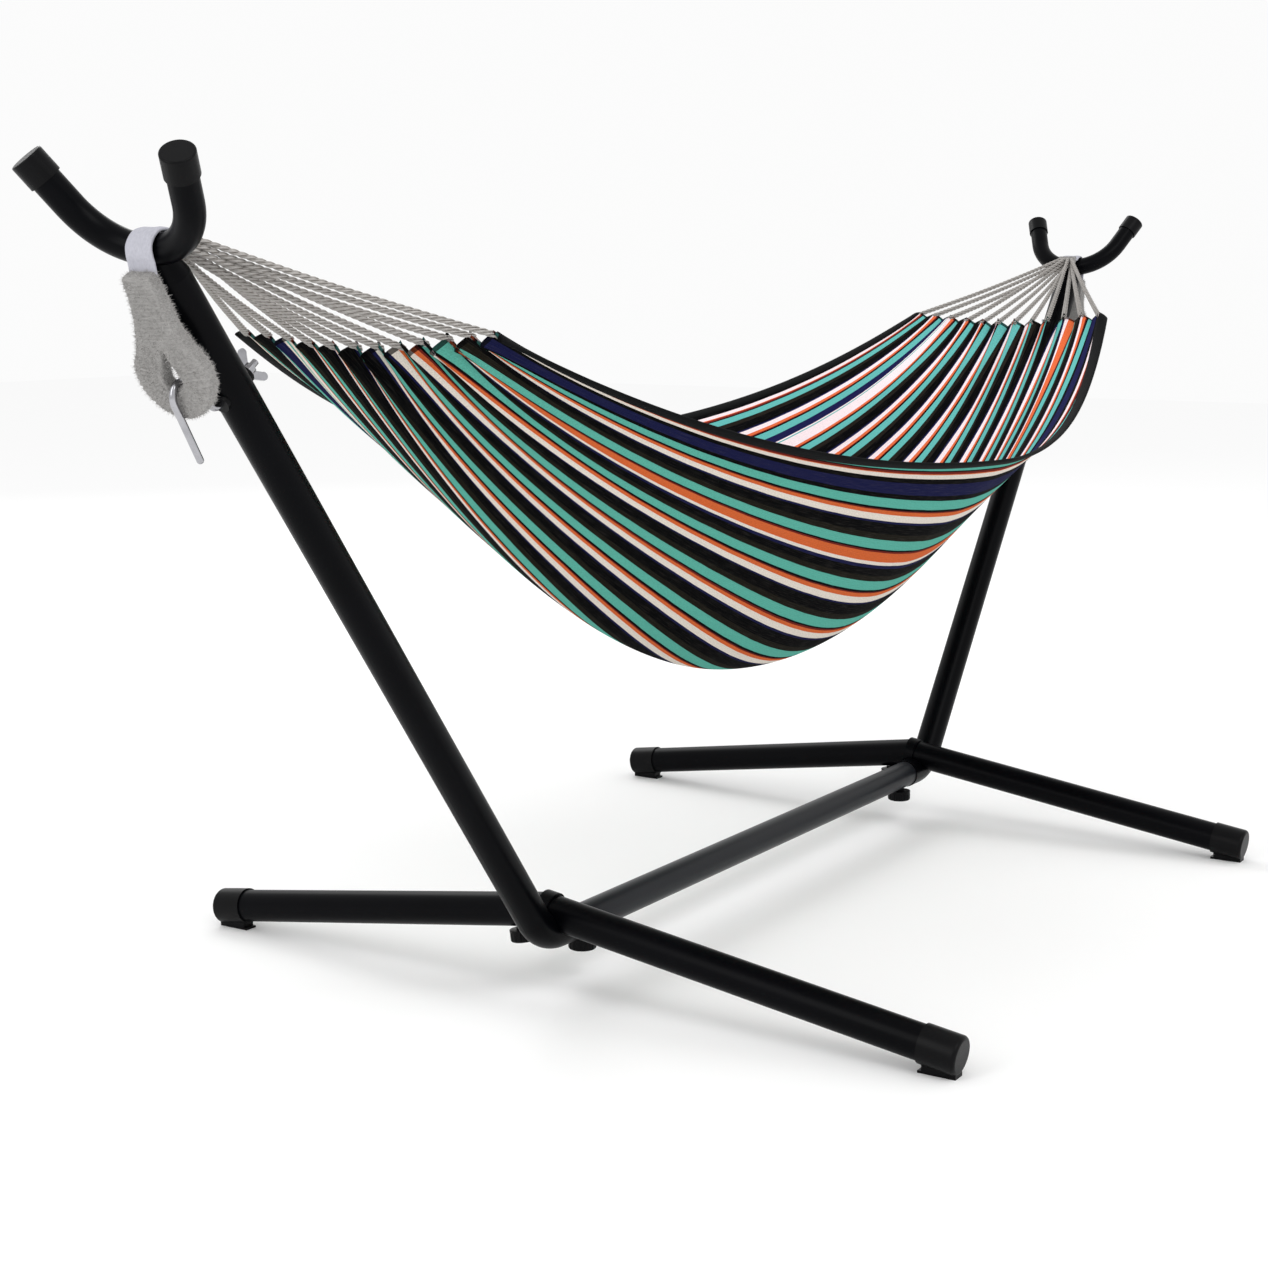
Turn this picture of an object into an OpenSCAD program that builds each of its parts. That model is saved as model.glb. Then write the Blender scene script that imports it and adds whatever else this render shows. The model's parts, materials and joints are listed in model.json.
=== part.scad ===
// Hammock on a steel-tube stand.
// X runs along the hammock, Y across it (front is -Y), Z is up, and the floor is z = 0.
// The right end is +X. The left end is its mirror image.

/* [Stand] */
// Distance between the two cross tubes, along the beam
hub_span = 1132; // [900:4:1360]
// Height of the cross tubes' axes above the floor, at the centre line
hub_h = 109; // [95:1:150]
// Reach of each leg from the centre line to its end
leg_reach = 579; // [420:1:700]
// Height of the leg's axis at its end
leg_end_h = 26.5; // [25.5:0.1:32]
// Distance between the two saddles
saddle_span = 2542; // [2200:2:2900]
// Height of the saddles' centres above the floor
saddle_h = 960; // [820:5:1100]

/* [Tubes] */
// Outside diameter of the legs, hubs and uprights
tube_d = 45; // [40:0.5:50]
// Outside diameter of the long beam
beam_d = 42; // [38:0.5:46]
// Outside diameter of the fork tube that carries the saddle
fork_d = 32; // [28:0.5:35]
// Wall thickness of every tube
wall = 1.5; // [1.2:0.1:2.5]
// Height of the beam's axis above the floor
beam_h = 82; // [76:1:90]

/* [Hubs] */
// Distance from the cross tube's axis outwards to the elbow's corner
corner_out = 24; // [20:1:30]
// Bend radius of the hub elbow, at its centre line
bend_r = 72; // [66:1:84]
// Distance from the cross tube's axis inwards to the seam with the beam
beam_seam_in = 46; // [40:1:60]
// Length of the hub's spigot inside the beam
beam_spigot_l = 75; // [50:1:110]
// Length of the hub's spigot inside the upright
upright_spigot_l = 85; // [50:1:120]
// Distance from the centre line to the seam with the back leg
kink_y = 11; // [8:1:20]
// Length of the leg spigot on each side of that seam
leg_spigot_l = 80; // [60:1:110]
// Width of the rolled collar at the seam
collar_w = 14; // [8:1:20]
// Height of the collar above the tube
collar_t = 3; // [1:0.5:5]
// Radial clearance between the leg spigot and the back leg
slip = 0.25; // [0.2:0.05:0.5]

/* [Fork] */
// Radius of the fork's bend, at its centre line
fork_r = 85.5; // [75:0.5:100]
// Angle of the fork's bend on each side
fork_angle = 70; // [60:1:80]
// Length of the straight end of each prong, up to the middle of its cap
prong_l = 48.6; // [35:0.1:70]
// Length of a fork cap
fork_cap_l = 29; // [20:1:40]

/* [Caps] */
// Length of a leg's end cap
foot_cap_l = 50; // [40:1:60]
// Wall thickness of every plastic cap
cap_wall = 2.2; // [1.5:0.1:2.7]
// Width of the flat pad under a leg cap
pad_w = 20; // [16:1:44]

/* [Lock knobs] */
// Diameter of a lock knob
knob_d = 38; // [30:1:44]
// Height of a lock knob's head
knob_h = 16; // [12:1:20]
// Diameter of a knob's threaded stud
stud_d = 8; // [6:1:10]
// Distance from the beam's seam to its knob
beam_knob_out = 24; // [20:1:40]
// Distance from the back leg's seam to its knob
leg_knob_out = 40; // [30:1:55]
// Radial clearance between a stud and what it turns in
turn_gap = 0.08; // [0.03:0.01:0.1]

/* [Hook] */
// Distance down the upright from the saddle's centre to the hook
hook_drop = 181; // [150:1:240]
// Diameter of the hook's rod
rod_d = 8; // [6:0.5:10]
// Height of the hook's crown above its shank
crown_rise = 57; // [52:1:64]
// Radius of the crown's bend
crown_r = 17; // [15:0.5:20]
// Length of the hook's free leg
hook_leg_l = 68; // [50:1:90]
// Angle of the free leg away from the upright
hook_flare = 6.4; // [2:0.1:10]
// Diameter of the plastic spacers on the shank
spacer_d = 22; // [18:1:26]
// Thickness of a spacer, outside the tube
spacer_t = 2.5; // [2:0.1:4]

/* [Loop] */
// Width of the loop where it goes over the saddle
strap_w = 33; // [26:1:40]
// Thickness of the whipped part of the loop
loop_t = 22; // [18:0.5:23]
// Outside radius of the loop's eye end
loop_r = 48; // [42:1:54]
// Radius of the eye's rounded end
eye_r = 10; // [8:0.5:12]
// Length of the eye
eye_l = 42; // [30:1:50]
// Air between soft parts and the steel
soft_gap = 0.5; // [0.3:0.1:1]

/* [Bed] */
// Half of the length of the cloth, measured straight from end to end
bed_half_l = 945; // [800:5:1050]
// Half of the cloth's width at its gathered ends
bed_end_w = 190; // [140:5:240]
// Half of the cloth's width at the middle
bed_mid_w = 400; // [320:5:480]
// Height of the cloth's edges at its ends
bed_end_h = 870; // [820:5:900]
// How far the edges sag towards the middle
edge_sag = 188; // [120:2:240]
// Depth of the hollow at the ends
end_depth = 15; // [10:1:60]
// Depth of the hollow at the middle
mid_depth = 326; // [240:2:360]
// Thickness of the cloth
cloth_t = 3; // [2:0.1:5]

/* [Cords] */
// Number of cords at each end
cord_n = 12; // [6:3:15]
// Diameter of one cord
cord_d = 6; // [4:0.5:6]
// Distance between the cords where they come together
cord_pitch = 7; // [6.5:0.1:7]

/* [Hidden] */
$fn = 64;
// a straight run laps into a bend by this much, and stands proud of it by this much
lap = 0.6;
proud = 0.06;
rod_lap = 0.4;
far = 2000;

tube_r = tube_d / 2;
tube_in = tube_r - wall;
beam_r = beam_d / 2;
beam_in = beam_r - wall;
fork_rad = fork_d / 2;
prong_r = fork_rad + proud;
rod_r = rod_d / 2;
stud_r = stud_d / 2;
hub_x = hub_span / 2;
saddle_x = saddle_span / 2;

// hub elbow: beam_h is its lower line, and the upright's axis starts at the corner
corner_x = hub_x + corner_out;
lean = atan2(saddle_x - corner_x, saddle_h - beam_h);
bend = 90 - lean;
bend_run = bend_r * tan(bend / 2);
bend_x = corner_x - bend_run;
beam_seam = hub_x - beam_seam_in;
upright_l = norm([saddle_x - corner_x, saddle_h - beam_h]);
seam_run = 4;
upright_seam = upright_l - bend_run - seam_run;

// legs: the front leg runs straight through the cross tube to the seam at kink_y
front_slope = atan2(hub_h - leg_end_h, leg_reach);
kink_z = hub_h + kink_y * tan(front_slope);
back_slope = atan2(kink_z - leg_end_h, leg_reach - kink_y);
front_l = norm([leg_reach + kink_y, kink_z - leg_end_h]);
back_l = norm([leg_reach - kink_y, kink_z - leg_end_h]);
cap_end_wall = 4;

// fork
fork_tip_l = prong_l + fork_cap_l / 2;
upright_taper_l = 26;
upright_top = 8;

// knobs
knob_neck_h = 3;
knob_gap = 0.4;
knob_flutes = 14;
nut_w = 13;
nut_top = 11.5;
stud_l = 15;

// hook: shank along +X of the upright's own frame, crown up along +Z
shank_bend_r = 10;
rise_angle = 80;
shank_out = tube_r + spacer_t + 1.3;
shank_in = tube_r + spacer_t + 20;
rise_l = (crown_rise - crown_r - shank_bend_r * (1 - cos(rise_angle))
    + crown_r * cos(rise_angle)) / sin(rise_angle);
rise_start = [shank_out + shank_bend_r * sin(rise_angle), shank_bend_r * (1 - cos(rise_angle))];
rise_end = rise_start + rise_l * [cos(rise_angle), sin(rise_angle)];
crown_c = rise_end + crown_r * [sin(rise_angle), -cos(rise_angle)];
leg_start = crown_c + crown_r * [cos(hook_flare), sin(hook_flare)];
wing_gap = 0.3;
wing_nut_r = 7;
wing_nut_h = 10;
wing_t = 3;
wing_turn = 20;

// loop: hangs from the saddle to the crown, centred between the hook's two sides
band_in = fork_rad + 2.2 + soft_gap;
band_t = 4.5;
loop_top = band_in + loop_t / 2 + soft_gap;
crown_drop = hook_drop - crown_rise + rod_r + soft_gap;
loop_tilt = atan2(crown_c[0] - loop_top, crown_drop + 10);
eye_end = crown_drop / cos(loop_tilt);
loop_lip = 2;
loop_below = 34;
eye_side = 0.5;
loop_waist_w = 28;
loop_waist_up = 12;
throat_h = 24;
throat_l = 12;
throat_cut = 14;
throat_room = 0.6;
throat_out = fork_rad + 2 + soft_gap;
swing_h = saddle_h + 10;
// the underside of the throat clears the upright's inner side, whatever the lean
throat_low = saddle_h + tube_r * sin(lean) + throat_room
    + (tube_r * cos(lean) - throat_out - throat_l) / tan(lean);
band_start = -14;
band_end = 150;
band_tail = 14;

// cloth
bed_nx = 30;
bed_ny = 16;
edge_power = 1.3;
sag_power = 2.25;
floor_power = 2.0;
depth_end_h = bed_end_h - end_depth;
depth_mid_h = bed_end_h - edge_sag - mid_depth;
cord_reach = 0.94;
cord_start = saddle_x - throat_out - throat_l - soft_gap;

function arch(t, p) = 1 - pow(abs(t), p);
function bed_w(t) = bed_end_w + (bed_mid_w - bed_end_w) * arch(t, edge_power);
function edge_z(t) = bed_end_h - edge_sag * arch(t, sag_power);
function floor_z(t) = depth_end_h - (depth_end_h - depth_mid_h) * arch(t, floor_power);
function hollow(v) = pow(1 - pow(abs(v), 1.6), 1.38);
function bed_point(t, v) =
    [bed_half_l * t, bed_w(t) * v, edge_z(t) - (edge_z(t) - floor_z(t)) * hollow(v)];

// ---- frames and helpers

// children stand in the right upright's own frame: origin at the saddle's centre,
// +Z up along the upright, +X outwards and down
module on_upright() translate([saddle_x, 0, saddle_h]) rotate([0, lean, 0]) children();

// children run along +Y from the leg seam, down towards the front or the back foot
module on_front_leg() translate([hub_x, kink_y, kink_z]) rotate([-front_slope, 0, 180]) children();
module on_back_leg() translate([hub_x, kink_y, kink_z]) rotate([-back_slope, 0, 0]) children();

module left() mirror([1, 0, 0]) children();

module along_x(r, x0, x1) translate([x0, 0, 0]) rotate([0, 90, 0]) cylinder(r = r, h = x1 - x0);
module along_y(r, y0, y1) translate([0, y0, 0]) rotate([-90, 0, 0]) cylinder(r = r, h = y1 - y0);

// a bend in the XZ plane, from angle a0 to a1 counted from +X towards +Z
module bend_xz(r, bend_radius, a0, a1)
    rotate([90, 0, 0]) rotate([0, 0, a0]) rotate_extrude(angle = a1 - a0)
        translate([bend_radius, 0]) circle(r = r);

module rod_between(a, b, r) {
    v = b - a;
    translate(a) rotate([0, acos(v[2] / norm(v)), atan2(v[1], v[0])]) cylinder(r = r, h = norm(v));
}

// ---- hub

// the bent run of the elbow alone, in the row's frame
module elbow_bend(r) translate([bend_x, 0, beam_h + bend_r]) bend_xz(r, bend_r, -90, -90 + bend);

// a straight run along the beam, from x0 to the bend
module beam_side(r, x0) translate([0, 0, beam_h]) along_x(r, x0, bend_x + lap);

// a straight run up into the upright, to height z1 in the upright's frame
module upright_side(r, z1) on_upright() translate([0, 0, -upright_seam - seam_run - lap])
    cylinder(r = r, h = z1 + upright_seam + seam_run + lap);

module hub_part() color("#1c1d20") difference() {
    union() {
        elbow_bend(tube_r);
        beam_side(tube_r + proud, beam_seam);
        beam_side(beam_in, beam_seam - beam_spigot_l);
        upright_side(tube_r + proud, -upright_seam);
        upright_side(tube_in, upright_spigot_l - upright_seam);
    }
    elbow_bend(tube_in - wall);
    beam_side(beam_in - wall, beam_seam - beam_spigot_l - 1);
    upright_side(tube_in - wall + proud, upright_spigot_l - upright_seam + 1);
    leg_outline();
    beam_knob_place() stud_hole();
}

module beam_knob_place() translate([beam_seam - beam_knob_out, 0, beam_h - beam_r]) children();
module leg_knob_place() on_back_leg() translate([0, leg_knob_out, -tube_r]) children();

// ---- legs

module leg_outline() {
    front_leg_outline();
    back_leg_outline();
}

module front_leg_outline() intersection() {
    union() {
        on_front_leg() along_y(tube_r, -tube_r, front_l - cap_end_wall);
        on_front_leg() along_y(tube_r + collar_t, -tube_r, collar_w);
    }
    translate([0, kink_y - far, 0]) cube([far, far, far]);
}

module back_leg_outline() intersection() {
    on_back_leg() along_y(tube_r, -tube_r, back_l - cap_end_wall);
    translate([0, kink_y, 0]) cube([far, far, far]);
}

module front_leg() color("#1c1d20") difference() {
    front_leg_outline();
    on_front_leg() along_y(tube_in, -tube_d, front_l);
}

module back_leg() color("#1c1d20") difference() {
    back_leg_outline();
    on_back_leg() along_y(tube_in, -tube_d, back_l);
    leg_knob_place() stud_hole();
}

// pressed into the front leg, and a slip fit in the back leg
module spigot_solid(r, over) {
    intersection() {
        on_front_leg() along_y(r, -tube_r, leg_spigot_l + over);
        translate([0, kink_y - far, 0]) cube([far, far, far]);
    }
    intersection() {
        on_back_leg() along_y(r - slip, -tube_r, leg_spigot_l + over);
        translate([0, kink_y - lap, 0]) cube([far, far, far]);
    }
}

module leg_spigot() color("#2a2b2e") difference() {
    spigot_solid(tube_in, 0);
    spigot_solid(tube_in - wall, 1);
    leg_knob_place() stud_hole();
}

module foot_cap_shell(l) {
    cap_r = tube_r + cap_wall;
    rim = 5;
    rotate([-90, 0, 0]) translate([0, 0, l - foot_cap_l]) rotate_extrude() {
        square([cap_r - rim, foot_cap_l]);
        square([cap_r, foot_cap_l - rim]);
        translate([cap_r - rim, foot_cap_l - rim]) circle(r = rim);
    }
}

// the pad is a level block from the floor up into the cap, with a thin lip at its inner end
module foot_pad(side) {
    lip = 5;
    lip_h = 3;
    end_y = side * (leg_reach - 4);
    start_y = side * (leg_reach - foot_cap_l + 2);
    translate([hub_x - pad_w / 2, min(end_y, start_y), 0]) cube([pad_w, abs(end_y - start_y), 14]);
    translate([hub_x - pad_w / 2, min(start_y, start_y - side * lip), 0]) cube([pad_w, lip, lip_h]);
}

module front_foot_cap() color("#151517") difference() {
    union() {
        on_front_leg() foot_cap_shell(front_l);
        foot_pad(-1);
    }
    on_front_leg() along_y(tube_r, 0, front_l - cap_end_wall);
    translate([0, -far, -far]) cube([far, 2 * far, far]);
}

module back_foot_cap() color("#151517") difference() {
    union() {
        on_back_leg() foot_cap_shell(back_l);
        foot_pad(1);
    }
    on_back_leg() along_y(tube_r, 0, back_l - cap_end_wall);
    translate([0, -far, -far]) cube([far, 2 * far, far]);
}

// ---- beam and uprights

module beam() color("#232428") difference() {
    translate([0, 0, beam_h]) along_x(beam_r, -beam_seam, beam_seam);
    translate([0, 0, beam_h]) along_x(beam_in, -beam_seam - 1, beam_seam + 1);
    beam_knob_place() stud_hole();
    left() beam_knob_place() stud_hole();
}

module upright_outline(r, tip_r, over) rotate_extrude() polygon([
    [0, -upright_seam - over], [r, -upright_seam - over], [r, -upright_top - upright_taper_l],
    [tip_r, -upright_top], [tip_r, 0], [0, 0]]);

module upright() color("#1c1d20") on_upright() difference() {
    upright_outline(tube_r, fork_rad, 0);
    upright_outline(tube_in, fork_rad - wall, 1);
    fork_bend(fork_rad);
    translate([0, 0, -hook_drop]) along_x(rod_r + 0.5, -tube_d, tube_d);
}

// ---- fork

// the bend's centre is straight above the saddle, and one prong rises on each side
module fork_bend(r) translate([0, 0, fork_r]) rotate([0, 90, 0]) rotate([0, 0, -fork_angle])
    rotate_extrude(angle = 2 * fork_angle) translate([fork_r, 0]) circle(r = r);

// children stand at the end of each prong's bend, with +Z along the prong
module on_prongs() for (side = [-1, 1])
    translate([0, side * fork_r * sin(fork_angle), fork_r * (1 - cos(fork_angle))])
        rotate([-side * (90 - fork_angle), 0, 0]) children();

module fork() color("#1c1d20") on_upright() difference() {
    union() {
        fork_bend(fork_rad);
        on_prongs() translate([0, 0, -lap]) cylinder(r = prong_r, h = fork_tip_l - cap_wall + lap);
    }
    fork_bend(fork_rad - wall);
    on_prongs() translate([0, 0, -lap]) cylinder(r = prong_r - wall, h = fork_tip_l + lap);
}

module fork_caps() color("#101012") on_upright() on_prongs() difference() {
    translate([0, 0, fork_tip_l - fork_cap_l]) rotate_extrude() {
        square([fork_rad + cap_wall - 2, fork_cap_l]);
        square([fork_rad + cap_wall, fork_cap_l - 2]);
        translate([fork_rad + cap_wall - 2, fork_cap_l - 2]) circle(r = 2);
    }
    cylinder(r = prong_r, h = fork_tip_l - cap_wall);
}

// ---- lock knobs: the origin is on the tube's lowest line, and the stud points up

module stud_hole() translate([0, 0, -1]) cylinder(r = stud_r + turn_gap, h = stud_l);

module knob() color("#17181a") {
    difference() {
        union() {
            translate([0, 0, -knob_gap - knob_neck_h]) cylinder(d = knob_d * 0.5, h = knob_neck_h);
            translate([0, 0, -knob_gap - knob_neck_h]) rotate([180, 0, 0]) rotate_extrude() {
                square([knob_d / 2 - 3, knob_h]);
                square([knob_d / 2, knob_h - 3]);
                translate([knob_d / 2 - 3, knob_h - 3]) circle(r = 3);
            }
        }
        for (i = [0 : knob_flutes - 1]) rotate([0, 0, i * 360 / knob_flutes])
            translate([knob_d / 2 + 1.4, 0, -knob_gap - knob_neck_h - knob_h - 1])
                cylinder(r = 2.6, h = knob_h - 2);
    }
    translate([0, 0, -knob_gap - 1]) cylinder(r = stud_r, h = stud_l);
}

// a nut welded to the inner wall of the spigot, over the stud's hole
module knob_nut(outer_r) intersection() {
    difference() {
        cylinder(r = nut_w / sqrt(3), h = nut_top, $fn = 6);
        translate([0, 0, -1]) cylinder(r = stud_r + turn_gap, h = nut_top + 2);
    }
    translate([0, 0, outer_r]) children();
}

module knob_nuts() color("silver") {
    beam_knob_place() knob_nut(beam_r) along_x(beam_in - wall, -tube_r, tube_r);
    leg_knob_place() knob_nut(tube_r) along_y(tube_in - slip - wall, -tube_r, tube_r);
}

// ---- hook

// a straight stretch of the rod from point p, lapping into the bend before it and the bend after it
module rod_xz(p, heading, l, before, after, more = 0)
    translate([p[0] - before * cos(heading), 0, p[1] - before * sin(heading)])
        rotate([0, 90 - heading, 0]) cylinder(r = rod_r + more, h = l + before + after);

module crown(r) translate([crown_c[0], 0, crown_c[1]]) bend_xz(r, crown_r, hook_flare, rise_angle + 90);

// the hook's rise, crown and free leg, with room round them
module hook_room() translate([0, 0, -hook_drop]) {
    rod_xz(rise_start, rise_angle, rise_l, rod_lap, rod_lap, soft_gap + proud);
    crown(rod_r + soft_gap);
    rod_xz(leg_start, hook_flare - 90, hook_leg_l, rod_lap, 0, soft_gap + proud);
}

module hook_bolt() color("silver") on_upright() translate([0, 0, -hook_drop]) {
    rod_xz([-shank_in, 0], 0, shank_in + shank_out, 0, rod_lap);
    translate([shank_out, 0, shank_bend_r]) bend_xz(rod_r - proud, shank_bend_r, -90, rise_angle - 90);
    rod_xz(rise_start, rise_angle, rise_l, rod_lap, rod_lap);
    crown(rod_r - proud);
    rod_xz(leg_start, hook_flare - 90, hook_leg_l, rod_lap, 0);
    leg_end = leg_start + hook_leg_l * [cos(hook_flare - 90), sin(hook_flare - 90)];
    translate([leg_end[0], 0, leg_end[1]]) sphere(r = rod_r + proud);
}

module hook_spacers() color("#101012") on_upright() translate([0, 0, -hook_drop]) difference() {
    along_x(spacer_d / 2, -tube_r - spacer_t, tube_r + spacer_t);
    translate([0, 0, -tube_d]) cylinder(r = tube_r, h = 2 * tube_d);
    along_x(rod_r, -tube_d, tube_d);
}

// one wing seen from its side: x out from the shank, y along it
module wing_outline() {
    polygon([[wing_nut_r - 2, 1], [wing_nut_r + 2, 1], [21, 12], [14, 18], [wing_nut_r - 2, wing_nut_h]]);
    translate([17, 14.8]) circle(r = 4.7);
}

module wing_nut() color("silver") on_upright() translate([-tube_r - spacer_t - wing_gap, 0, -hook_drop])
    rotate([0, -90, 0]) difference() {
        union() {
            cylinder(r = wing_nut_r + 1.5, h = wing_t);
            cylinder(r = wing_nut_r, h = wing_nut_h);
            for (side = [0, 180]) rotate([90, 0, wing_turn + side]) translate([0, 0, -wing_t / 2])
                linear_extrude(height = wing_t) wing_outline();
        }
        translate([0, 0, -1]) cylinder(r = rod_r + turn_gap, h = shank_in);
    }

// ---- hook loop

// outline of the loop seen from outside: y across, x down from the saddle
module loop_outline() {
    loop_c = eye_end + loop_below - loop_r;
    shoulder = loop_c - loop_r / 4;
    shoulder_w = loop_r * sqrt(15) / 4;
    waist = eye_end - eye_l - loop_waist_up;
    loop_top_w = strap_w / 2 + 2;
    eye_c = eye_end - eye_r;
    difference() {
        union() {
            translate([loop_c, 0]) circle(r = loop_r);
            polygon([[loop_lip, -loop_top_w], [waist, -loop_waist_w], [shoulder, -shoulder_w],
                [shoulder, shoulder_w], [waist, loop_waist_w], [loop_lip, loop_top_w]]);
        }
        translate([eye_c, 0]) circle(r = eye_r);
        polygon([[eye_end - eye_l, 0], [eye_c, eye_side - eye_r], [eye_c, eye_r - eye_side]]);
    }
}

// the strap passes over the saddle, from the whipped loop on the outside round to the throat
module strap() {
    rotate([90, 0, 0]) rotate([0, 0, band_start]) rotate_extrude(angle = band_end - band_start)
        translate([band_in, -strap_w / 2]) square([band_t, strap_w]);
    rotate([0, -band_end, 0]) translate([band_in - proud, -strap_w / 2 - proud, -rod_lap])
        cube([band_t + 2 * proud, strap_w + 2 * proud, band_tail + rod_lap]);
}

// where all the cords come together; its underside slopes to stay off the upright
module throat() translate([saddle_x - throat_out, strap_w / 2, 0]) rotate([90, 0, 0])
    linear_extrude(height = strap_w) polygon([[-throat_l, throat_low], [0, throat_low + throat_cut],
        [0, swing_h + throat_h / 2], [-throat_l, swing_h + throat_h / 2]]);

module hook_loop() color("#cfcdc6") {
    on_upright() {
        difference() {
            translate([loop_top, 0, 0]) rotate([0, 90 - loop_tilt, 0]) translate([0, 0, -loop_t / 2])
                linear_extrude(height = loop_t) loop_outline();
            hook_room();
        }
        strap();
    }
    throat();
}

// ---- bed and cords

// corner numbers of one cell of the cloth's upper side, and of one cell of its rim
bed_row = bed_ny + 1;
bed_count = (bed_nx + 1) * bed_row;
function cell(i, j) = let (a = i * bed_row + j) [a, a + 1, a + bed_row + 1, a + bed_row];
function under_cell(i, j) = let (c = cell(i, j)) [for (k = [3 : -1 : 0]) c[k] + bed_count];
function rim_cell(a, b) = [a, b, b + bed_count, a + bed_count];

module bed() color("#3f8f86") {
    is = [0 : bed_nx - 1];
    js = [0 : bed_ny - 1];
    top = [for (i = [0 : bed_nx], j = [0 : bed_ny]) bed_point(2 * i / bed_nx - 1, 2 * j / bed_ny - 1)];
    under = [for (p = top) p - [0, 0, cloth_t]];
    polyhedron(concat(top, under), concat(
        [for (i = is, j = js) cell(i, j)],
        [for (i = is, j = js) under_cell(i, j)],
        [for (j = js) rim_cell(j + 1, j)],
        [for (j = js) rim_cell(bed_nx * bed_row + j, bed_nx * bed_row + j + 1)],
        [for (i = is) rim_cell(i * bed_row, (i + 1) * bed_row)],
        [for (i = is) rim_cell((i + 1) * bed_row + bed_ny, i * bed_row + bed_ny)]), convexity = 6);
}

// the cords start in columns of three, and each keeps its own place so that none cross
module cords() color("#d9d6cc") intersection() {
    for (i = [0 : cord_n - 1]) {
        half = cord_n / 2;
        level = i < half ? 1 - i % 3 : i % 3 - 1;
        column = floor(i / 3) - (cord_n / 3 - 1) / 2;
        start = [cord_start, column * cord_pitch, swing_h + level * cord_pitch];
        end = bed_point(1, cord_reach * (2 * i / (cord_n - 1) - 1)) - [0, 0, cloth_t / 2];
        dir = (end - start) / norm(end - start);
        rod_between(start - 6 * dir, end + 6 * dir, cord_d / 2);
    }
    translate([bed_half_l, -far / 2, 0]) cube([cord_start - bed_half_l, far, far]);
}

beam();
left() hub_part();  // left_hub
hub_part();  // right_hub
left() leg_spigot();  // left_leg_spigot
leg_spigot();  // right_leg_spigot
left() front_leg();  // left_front_leg
left() back_leg();  // left_back_leg
front_leg();  // right_front_leg
back_leg();  // right_back_leg
left() front_foot_cap();  // left_front_foot_cap
left() back_foot_cap();  // left_back_foot_cap
front_foot_cap();  // right_front_foot_cap
back_foot_cap();  // right_back_foot_cap
left() upright();  // left_upright
upright();  // right_upright
left() fork();  // left_fork
fork();  // right_fork
left() fork_caps();  // left_fork_caps
fork_caps();  // right_fork_caps
left() beam_knob_place() knob();  // left_beam_knob
beam_knob_place() knob();  // right_beam_knob
left() leg_knob_place() knob();  // left_leg_knob
leg_knob_place() knob();  // right_leg_knob
left() knob_nuts();  // left_knob_nuts
knob_nuts();  // right_knob_nuts
left() hook_bolt();  // left_hook_bolt
hook_bolt();  // right_hook_bolt
left() hook_spacers();  // left_hook_spacers
hook_spacers();  // right_hook_spacers
left() wing_nut();  // left_wing_nut
wing_nut();  // right_wing_nut
left() hook_loop();  // left_hook_loop
hook_loop();  // right_hook_loop
bed();
left() cords();  // left_cords
cords();  // right_cords
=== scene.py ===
# %% [markdown]
# # A striped hammock on a tube stand
# The stand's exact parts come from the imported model, and this script never moves them. It gives them their finishes,
# and it makes what is soft: the woven bed, the ropes that gather it, and the loops that hold it to the hooks.
# Everything is in metres. X runs along the hammock, the front is -Y, and the floor is z = 0.

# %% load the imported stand
import json
import math
import bmesh
import bpy
import numpy as np
from mathutils import Matrix, Vector
from mathutils.geometry import tessellate_polygon


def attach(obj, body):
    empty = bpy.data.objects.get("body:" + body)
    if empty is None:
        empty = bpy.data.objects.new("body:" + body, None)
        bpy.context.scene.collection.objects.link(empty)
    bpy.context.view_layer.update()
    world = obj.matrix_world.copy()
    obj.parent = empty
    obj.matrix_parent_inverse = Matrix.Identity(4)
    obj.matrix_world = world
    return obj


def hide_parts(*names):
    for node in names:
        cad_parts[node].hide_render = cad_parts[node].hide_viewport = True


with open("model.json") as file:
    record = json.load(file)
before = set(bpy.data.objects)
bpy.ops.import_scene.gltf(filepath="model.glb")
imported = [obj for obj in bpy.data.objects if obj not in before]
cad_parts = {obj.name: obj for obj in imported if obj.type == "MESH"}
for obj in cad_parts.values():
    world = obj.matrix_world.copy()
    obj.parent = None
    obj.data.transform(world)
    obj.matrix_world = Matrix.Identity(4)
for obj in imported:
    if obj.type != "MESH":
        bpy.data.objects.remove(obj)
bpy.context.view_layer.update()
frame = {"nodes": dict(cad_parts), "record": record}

NODES = frame["nodes"]

# %% [markdown]
# ## Sizes that more than one piece needs
# The saddle is the lowest point of each fork. Each end has its own frame there: `up` runs along the upright and `out`
# points away from the hammock. The left end is the right end's mirror image, so shapes are made once, for the right.

# %% the saddle's frame and the bed's shape
saddle = Vector((1.271, 0, 0.960))
lean = math.atan2(1.271 - 0.590, 0.960 - 0.082)
up = Vector((math.sin(lean), 0, math.cos(lean)))
out = Vector((math.cos(lean), 0, -math.sin(lean)))
across = Vector((0, 1, 0))
swing_height = 0.970
cord_start_x = 1.2405

BED_HALF = 0.945


def arch(t, power):
    return 1 - abs(t) ** power


def bed_point(t, v):
    """The bed's upper face: t from -1 to 1 along it, v from -1 at the front edge to 1 at the back edge."""
    half_width = 0.190 + 0.210 * arch(t, 1.3)
    edge = 0.870 - 0.188 * arch(t, 2.25)
    floor = 0.855 - 0.499 * arch(t, 2.0)
    hollow = max(0.0, 1 - abs(v) ** 1.6) ** 1.38
    return Vector((BED_HALF * t, half_width * v, edge - (edge - floor) * hollow))


print("bed is", round(2 * BED_HALF, 3), "m long between its gathered ends")

# %% [markdown]
# ## The camera
# It stands in front of the left end, a little above the bed, and looks slightly down. The lens is long, so the far
# end isn't much smaller than the near one. The shift keeps the uprights' lines true while the frame sits lower.

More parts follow.
